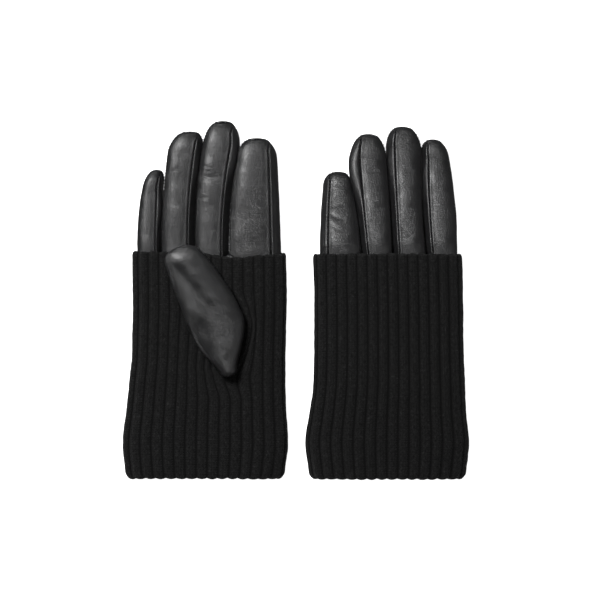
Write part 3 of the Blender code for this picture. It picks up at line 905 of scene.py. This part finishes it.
def build_thumb(side, seed):
    palm_up = SIDES[side]
    thumb = read_thumb(side)
    steps = thumb["steps"]
    # Towards the tip both seams climb onto the face; lower down they sink below.
    left_seam = 180 - 12 * fade(steps, 60, 84) + 14 * (1 - fade(steps, 30, 46))
    right_seam = 8 * fade(steps, 50, 80) - 10 * (1 - fade(steps, 20, 50))
    centre = np.append(thumb["hinge"][:2] + 45 * thumb["along"] - 3 * thumb["across"],
                       (thumb["low"] + thumb["high"]) / 2)
    # At its ends the leather has no dents, because its seams meet there.
    ends = fade(steps, steps[0] + 1.5, steps[0] + 5) * (1 - fade(steps, steps[-1] - 1.2, steps[-1]))

    def sew_half(half, base, lift):
        name = f"{side}_thumb_{half}"
        obj = make_piece(f"{name}_leather", raise_grid(base, centre, lift), size_uvs(base), centre,
                         SKIN, LEATHER, name)
        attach(obj, f"{side}_thumb")

    base = thumb_grid(thumb, palm_up, right_seam + 1, left_seam - 1, THUMB_COLUMNS)
    stitched = base[12:-6]
    seams = [seam_path(stitched, centre, 0), seam_path(stitched, centre, -1)]
    lift = leather_lift(base, seed, wrinkle=0.0) * ends[:, None]
    sew_half("front", base, lift + thumb_folds(thumb, base))

    # The back's edge stands out as a thin flap beside the lower left of the face.
    base = thumb_grid(thumb, palm_up, left_seam + 1, right_seam + 359, THUMB_COLUMNS)
    flap = 2.0 * fade(steps, 8, 16) * (1 - fade(steps, 36, 44))
    lift = leather_lift(base, seed + 5, wrinkle=0.0) * ends[:, None]
    lift += flap[:, None] * np.exp(-((arc_lengths(base, 1) - 1.2) / 1.1) ** 2)
    sew_half("back", base, lift)

    inner = dict(thumb)
    inner["reach"] = thumb["reach"] * (1 - LINING_INSET / thumb["reach"].max())
    inner["low"] = thumb["low"] + LINING_INSET
    inner["high"] = thumb["high"] - LINING_INSET
    inner["steps"] = 44 + (steps - 44) * 0.94
    base = thumb_grid(inner, palm_up, 0 * steps, 0 * steps + 360, THUMB_LINING_COLUMNS)
    obj = cloth_tube(f"{side}_thumb_fleece_stall", base, centre, fleece_nap(base, seed),
                     STALL_WALL, FLEECE, f"{side}_thumb_lining")
    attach(obj, f"{side}_thumb")
    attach(stitch_mesh(f"{side}_thumb_stitches", seams), f"{side}_thumb")


# === Hand, under the cuff ====================================================
def smooth_extents(nodes, heights, width):
    """Sections of some CAD nodes over heights, smoothed."""
    extents = slice_extents(nodes, heights)
    return np.stack([smooth_steps(extents[:, i], width) for i in range(4)], axis=1)


def read_layer(*nodes, trim):
    """Heights and sections of a layer of the hand, short of its ends by the trim."""
    low, high = box_mm(nodes[0])
    heights = np.arange(low[1] + trim, high[1] - trim, 1.0)
    return heights, smooth_extents(nodes, heights, 3.0)


def hand_grid(layer, palm_up, inset, tops, angles):
    """A sheet of the hand: every column runs from the layer's bottom to its own top."""
    heights, extents = layer
    bottom = heights[0]
    rows = max(int((np.max(tops) - bottom) / 1.6), 4)
    share = np.linspace(0, 1, rows + 1)[:, None]
    y = bottom + (tops[None, :] - bottom) * share
    left, right, low, high = (np.interp(y, heights, extents[:, i]) for i in range(4))
    x, z = section_point(left + inset, right - inset, low + inset, high - inset, HAND_POWER,
                         palm_up * angles[None, :])
    return np.stack([x, y, z], axis=2)


def finger_gaps(side):
    """Where the fingers part, across the hand, from the little finger on."""
    spans = [slice_extents(leather_nodes(side, f), (GAP_HEIGHT,))[0] for f in FINGERS[::-1]]
    return [(first[1] + second[0]) / 2 for first, second in zip(spans, spans[1:])]


def build_hand(side, seed):
    palm_up = SIDES[side]
    origin = glove_origin(side)
    gaps = finger_gaps(side)
    leather = read_layer(f"{side}_palm_leather", f"{side}_back_leather", trim=0.3)
    heights, extents = leather
    centre = np.array([origin[0], origin[1] + 90, extents[40, 2:].mean()])
    for panel, (start, end) in {"palm": (1.2, 178.8), "back": (181.2, 358.8)}.items():
        angles = start + (end - start) * edge_heavy(HAND_COLUMNS, 0.08)
        level = np.full(len(angles), heights[0] + 60)
        x = hand_grid(leather, palm_up, 0.5, level, angles)[-1, :, 0]
        tops = np.full(len(angles), origin[1] + HAND_TOP)
        for gap, height in zip(gaps, WEB_HEIGHTS.get((side, panel), PLAIN_WEBS)):
            tops += (height - HAND_TOP) * np.exp(-((x - gap) / WEB_HALF) ** 4)
        base = hand_grid(leather, palm_up, 0.5, tops, angles)
        # The webs dip between the fingers, so that the two panels almost meet there.
        dip = 1 - 0.5 * fade(base[:, :, 1] - origin[1], 147, 155)
        base[:, :, 2] = centre[2] + (base[:, :, 2] - centre[2]) * dip
        obj = make_piece(f"{side}_hand_{panel}_leather",
                         raise_grid(base, centre, leather_lift(base, seed)), size_uvs(base), centre,
                         SKIN, LEATHER, f"{side}_{panel}_leather")
        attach(obj, f"{side}_hand")

    turns = np.linspace(0, 360, 161)
    lining = read_layer(f"{side}_hand_lining", trim=0.3)
    base = hand_grid(lining, palm_up, 0.2, np.full(161, origin[1] + HAND_TOP - 2), turns)
    obj = cloth_tube(f"{side}_fleece_hand_lining", base, centre,
                     fleece_nap(base, seed, 0.3, 0.35, 14), 1.1, FLEECE, f"{side}_hand_lining")
    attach(obj, f"{side}_hand")

    tape = read_layer(f"{side}_wrist_binding", trim=0.2)
    base = hand_grid(tape, palm_up, 0.1, np.full(161, tape[0][-1]), turns)
    pucker = 0.12 * np.sin(arc_lengths(base, 1) * 2 * np.pi / TAPE_PUCKER_STEP)
    obj = cloth_tube(f"{side}_wrist_tape", base, centre, pucker, 0.7, TAPE,
                     f"{side}_wrist_binding")
    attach(obj, f"{side}_hand")


def oval_line(origin, centre, half, count):
    """Points (x, y) round an oval whose top leans to the right."""
    turn = np.linspace(0, 2 * np.pi, count + 1)
    y = half[1] * np.sin(turn)
    x = half[0] * np.cos(turn) + SLOT_LEAN * y
    return np.stack([x + origin[0] + centre[0], y + origin[1] + centre[1]], axis=1)


def knit_uvs(ribs, path):
    """UVs of knit: U counts ribs and V counts centimetres along a path."""
    along = arc_lengths(path[:, None], 0) / 10
    return np.stack(np.broadcast_arrays(ribs[None, :], along), axis=2)


def build_opening_edge(side):
    """The knitted edge round the thumb's opening: a cord of twisted loops."""
    palm_up = SIDES[side]
    low, high = box_mm(f"{side}_thumbhole_edge")
    level = (high if palm_up > 0 else low)[2] - palm_up * 1.0
    line = oval_line(glove_origin(side), SLOT_CENTRE, SLOT_HALF, 96)
    path = np.column_stack([line, np.full(len(line), level)])
    ahead = np.gradient(path, axis=0)
    ahead[0] = ahead[-1] = path[1] - path[-2]
    ahead /= np.linalg.norm(ahead, axis=1, keepdims=True)
    up = np.array([0, 0, 1.0])
    aside = np.cross(ahead, up)
    turns = np.linspace(0, 2 * np.pi, EDGE_SIDES + 1)[None, :, None]
    girth = 1 + 0.14 * np.cos(np.linspace(0, 2 * np.pi * EDGE_LOOPS, len(path)))
    grid = (path[:, None] + EDGE_RADIUS * girth[:, None, None]
            * (aside[:, None] * np.cos(turns) + up * np.sin(turns)))
    uv = knit_uvs(np.linspace(0.3, 0.7, EDGE_SIDES + 1), path)
    obj = mesh_from_grid(f"{side}_thumb_opening_edge", grid, uv, ring=True)
    obj.data.shade_smooth()
    face_outward(obj, path.mean(axis=0))
    dress(obj, KNIT)
    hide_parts(f"{side}_thumbhole_edge")
    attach(obj, f"{side}_hand")


def build_gusset(side):
    """The leather gusset that rises through the opening to the thumb."""
    origin = glove_origin(side)
    low, high = box_mm(f"{side}_thumb_quirk")
    middle = (low + high) / 2 - origin
    bottom, top = (low[2], high[2]) if SIDES[side] > 0 else (high[2], low[2])
    rows = []
    for share in np.linspace(0, 1, GUSSET_ROWS + 1):
        # It spreads where it meets the hand and puckers on its way to the thumb.
        flare = 1.2 * (1 - share) ** 3 - 0.5 * math.sin(math.pi * share)
        line = oval_line(origin, middle, (GUSSET_HALF[0] + flare, GUSSET_HALF[1] + flare), 72)
        rows.append(np.column_stack([line, np.full(len(line), bottom + (top - bottom) * share)]))
    grid = np.array(rows)
    centre = origin + middle
    lift = 0.3 * rough(grid, 4, 31) * np.sin(np.linspace(0, np.pi, len(grid)))[:, None]
    obj = cloth_tube(f"{side}_thumb_gusset", grid, centre, lift, SKIN, LEATHER,
                     f"{side}_thumb_quirk")
    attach(obj, f"{side}_hand")


# === Cuff ====================================================================
def cuff_top(side, x):
    """Height of the cuff's upper edge over its folded edge, across the hand."""
    if side == "left":
        return 148.6 + 0.4 * np.cos(x / 9)
    # The right cuff slants down to the right, and the thumb's tip presses a dip in it.
    slant = 150.9 - 2.3 * np.clip((x + 48) / 102, 0, 1)
    return slant - 3.2 * np.exp(-((x - 20) / 13) ** 2)


def cuff_path(top):
    """(height, depth, rib strength) down the outside, round the fold and up inside."""
    path = [(top + rise, depth, ribs) for rise, depth, ribs in RIM_PROFILE]
    fold_top = 0.3 + CUFF_FOLD
    face_top = top - 1.6
    count = int((face_top - fold_top) / 1.35)
    for share in np.arange(count + 1) / count:
        path.append((face_top - (face_top - fold_top) * share, 0.0, 1))
    for turn in np.radians(np.arange(12, 180, 14)):
        path.append((fold_top - CUFF_FOLD * math.sin(turn), CUFF_FOLD * (1 - math.cos(turn)),
                     FOLD_RIBS))
    for height in np.linspace(fold_top, TURNED_IN, 12):
        path.append((height, 2 * CUFF_FOLD, INNER_RIBS))
    return np.array(path)


def resampled(path, count):
    """A path with that many points, evenly by their number."""
    new, old = np.linspace(0, 1, count), np.linspace(0, 1, len(path))
    return np.stack([np.interp(new, old, path[:, i]) for i in range(path.shape[1])], axis=1)


def slot_shift(x, y, aside):
    """How far the thumb's opening pushes the knit sideways, at plan points."""
    push_run, parted_run, lean_run = 13, 8, 20
    x, y = x - SLOT_CENTRE[0], y - SLOT_CENTRE[1]
    half_width, half_length = SLOT_HALF
    along = y / half_length
    distance = np.abs(x)
    lean = SLOT_LEAN * y * (1 - fade(np.abs(along), 0.7, 1.9))
    opened = half_width * np.sqrt(np.clip(1 - along ** 2, 0, 1))
    # Beyond the slot's ends the ribs still part a little before they close again.
    beyond = np.abs(along) - 1
    parted = 2.2 * np.exp(-(beyond.clip(0, None) / 0.35) ** 2) * (beyond > 0)
    push = opened * np.exp(-distance / push_run)
    push += parted * np.exp(-distance / parted_run) * np.minimum(distance / 2.5, 1)
    return lean * np.exp(-(x / lean_run) ** 2) + aside * push


def cuff_angles(section, slot_x, share):
    """Angles of the cuff's columns, evenly round its section from the slot's line, and their x."""
    fine = np.linspace(0, 360, 2881)
    palm = fine <= 180
    x, z = section_point(*section, HAND_POWER, fine)
    length = np.concatenate([[0], np.cumsum(np.hypot(np.diff(x), np.diff(z)))])
    slot_angle = np.interp(-slot_x, -x[palm], fine[palm])
    start = np.interp(slot_angle, fine, length)
    angles = np.interp((start + share * length[-1]) % length[-1], length, fine)
    return angles, np.interp(angles, fine, x)


def cuff_column(side, origin, edges, path, angle, aside):
    """Points of one column of knit: on the section, then parted round the thumb's opening."""
    palm_up = SIDES[side]
    y, depth, _ = path.T
    left, right, low, high = edges
    # The last bit rounds in at the corners of the folded edge.
    tuck = 1.3 * (1 - fade(y, 0, 5))
    x, z = section_point(left + depth + tuck, right - depth - tuck, low + depth, high - depth,
                         HAND_POWER, palm_up * angle)
    local = x - origin[0]
    half_way = len(z) // 2
    if palm_up * (z[half_way] - (low + high)[half_way] / 2) > 0:
        outer = depth < 2 * CUFF_FOLD - 0.1
        shift = slot_shift(local, y, aside) * outer * (1 - fade(np.abs(local), 26, SLOT_REACH))
        moved = np.clip(local + shift + origin[0], left + 0.5, right - 0.5)
        reach = (right - left) / 2 - depth - tuck
        out = np.clip(np.abs(moved - (left + right) / 2) / reach, 0, 0.9999)
        height = ((high - low) / 2 - depth) * (1 - out ** HAND_POWER) ** (1 / HAND_POWER)
        near = np.abs(local) < SLOT_REACH
        x = np.where(near, moved, x)
        z = np.where(near, (low + high) / 2 + palm_up * height, z)
    return np.stack([x, y + origin[1], z], axis=1)


def build_cuff(side):
    origin = glove_origin(side)
    low, high = box_mm(f"{side}_knit_cuff")
    heights = np.arange(4.2, high[1] - low[1] - 0.2, 1.0)
    extents = smooth_extents([f"{side}_knit_cuff"], heights + low[1], 4.0)
    middle = extents[80]
    centre = np.array([origin[0], origin[1] + 75, middle[2:].mean()])

    columns = RIBS * RIB_COLUMNS
    share = np.linspace(0, 1, columns + 1)
    angles, x = cuff_angles(middle, origin[0] + SLOT_CENTRE[0], share)
    on_palm = np.sin(np.radians(angles)) > 0
    tops = np.where(on_palm, cuff_top(side, x - origin[0]), cuff_top(side, -60.0))
    tops = smooth_steps(np.concatenate([tops[-60:-1], tops, tops[1:60]]), 8.0)[59:-59]
    first = cuff_path(tops[0])
    grid = np.empty((len(first), columns + 1, 3))
    for j in range(columns + 1):
        path = resampled(cuff_path(tops[j]), len(first))
        edges = [np.interp(path[:, 0], heights, extents[:, i]) for i in range(4)]
        # The first columns lie to the left of the slot and the last to its right.
        aside = 1.0 if share[j] > 0.5 else -1.0
        grid[:, j] = cuff_column(side, origin, edges, path, angles[j], aside)

    normals = grid_normals(grid)
    out = np.sign(np.sum(normals[20:60] * (grid[20:60] - centre), axis=2).sum())
    phase = share * RIBS
    wave = (0.5 + 0.5 * np.cos(2 * np.pi * (phase - 0.5))) ** 0.5
    wobble = 1 + 0.12 * rough(grid, 14, 3)
    lift = RIB_HEIGHT * (wave[None, :] - 0.45) * first[:, 2:] * wobble
    lift += 0.3 * rough(grid, 22, 11) + 0.22 * rough(grid, 4, 12) + 0.1
    # Both sides of the slot and the first and last column keep one shared line.
    lift[:, -1] = lift[:, 0]
    grid = grid + out * normals * lift[:, :, None]
    joined = np.linalg.norm(grid[:, 0] - grid[:, -1], axis=1) < 1.0
    shared = (grid[:, 0] + grid[:, -1]) / 2
    grid[joined, 0] = shared[joined]
    grid[joined, -1] = shared[joined]

    obj = make_piece(f"{side}_rib_knit_cuff", grid, knit_uvs(phase, grid[:, 0]), centre, KNIT_WALL,
                     KNIT, f"{side}_knit_cuff", f"{side}_cuff_rim", ring=True)
    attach(obj, f"{side}_hand")


# === Floor, light and camera =================================================
def build_floor():
    """A plain white table."""
    bpy.ops.object.select_all(action="DESELECT")
    bpy.ops.mesh.primitive_plane_add(size=12, location=(0, 0, -0.0005))
    floor = bpy.context.object
    floor.name = "white_table"
    material, _, shader = new_material("white_table_top", "#ffffff", 0.9)
    shader.inputs["Emission Color"].default_value = (1, 1, 1, 1)
    shader.inputs["Emission Strength"].default_value = 0.95
    floor.data.materials.append(material)
    floor.visible_glossy = False


def add_softbox(name, place, size, power):
    """A square lamp that faces the gloves."""
    light = bpy.data.lights.new(name, "AREA")
    light.shape = "RECTANGLE"
    light.size = light.size_y = size
    light.energy = power
    lamp = bpy.data.objects.new(name, light)
    bpy.context.scene.collection.objects.link(lamp)
    lamp.location = place
    lamp.rotation_euler = (-Vector(place)).to_track_quat("-Z", "Y").to_euler()


def build_stage():
    build_floor()
    world = bpy.data.worlds.new("studio")
    bpy.context.scene.world = world
    world.use_nodes = True
    background = world.node_tree.nodes["Background"]
    background.inputs["Color"].default_value = (1, 1, 1, 1)
    background.inputs["Strength"].default_value = 0.14
    add_softbox("key_softbox", (-0.56, 0.62, 1.1), 0.4, 22)
    add_softbox("fill_softbox", (0.9, -0.3, 1.2), 0.9, 2.5)

    distance = 2.4
    view_width = 0.4
    lens = bpy.data.cameras.new("camera")
    lens.sensor_width = 36
    lens.lens = lens.sensor_width * distance / view_width
    camera = bpy.data.objects.new("camera", lens)
    bpy.context.scene.collection.objects.link(camera)
    camera.location = (0.003, 0, distance + 0.014)
    bpy.context.scene.camera = camera
    bpy.context.scene.view_settings.view_transform = "Standard"


def build_glove(side, finger_seed, thumb_seed, hand_seed):
    for number, finger in enumerate(FINGERS):
        build_finger(side, finger, finger_seed + number)
    build_thumb(side, thumb_seed)
    build_hand(side, hand_seed)
    build_opening_edge(side)
    build_gusset(side)
    build_cuff(side)


build_glove("right", 0, 51, 61)
build_glove("left", 10, 50, 60)
build_stage()
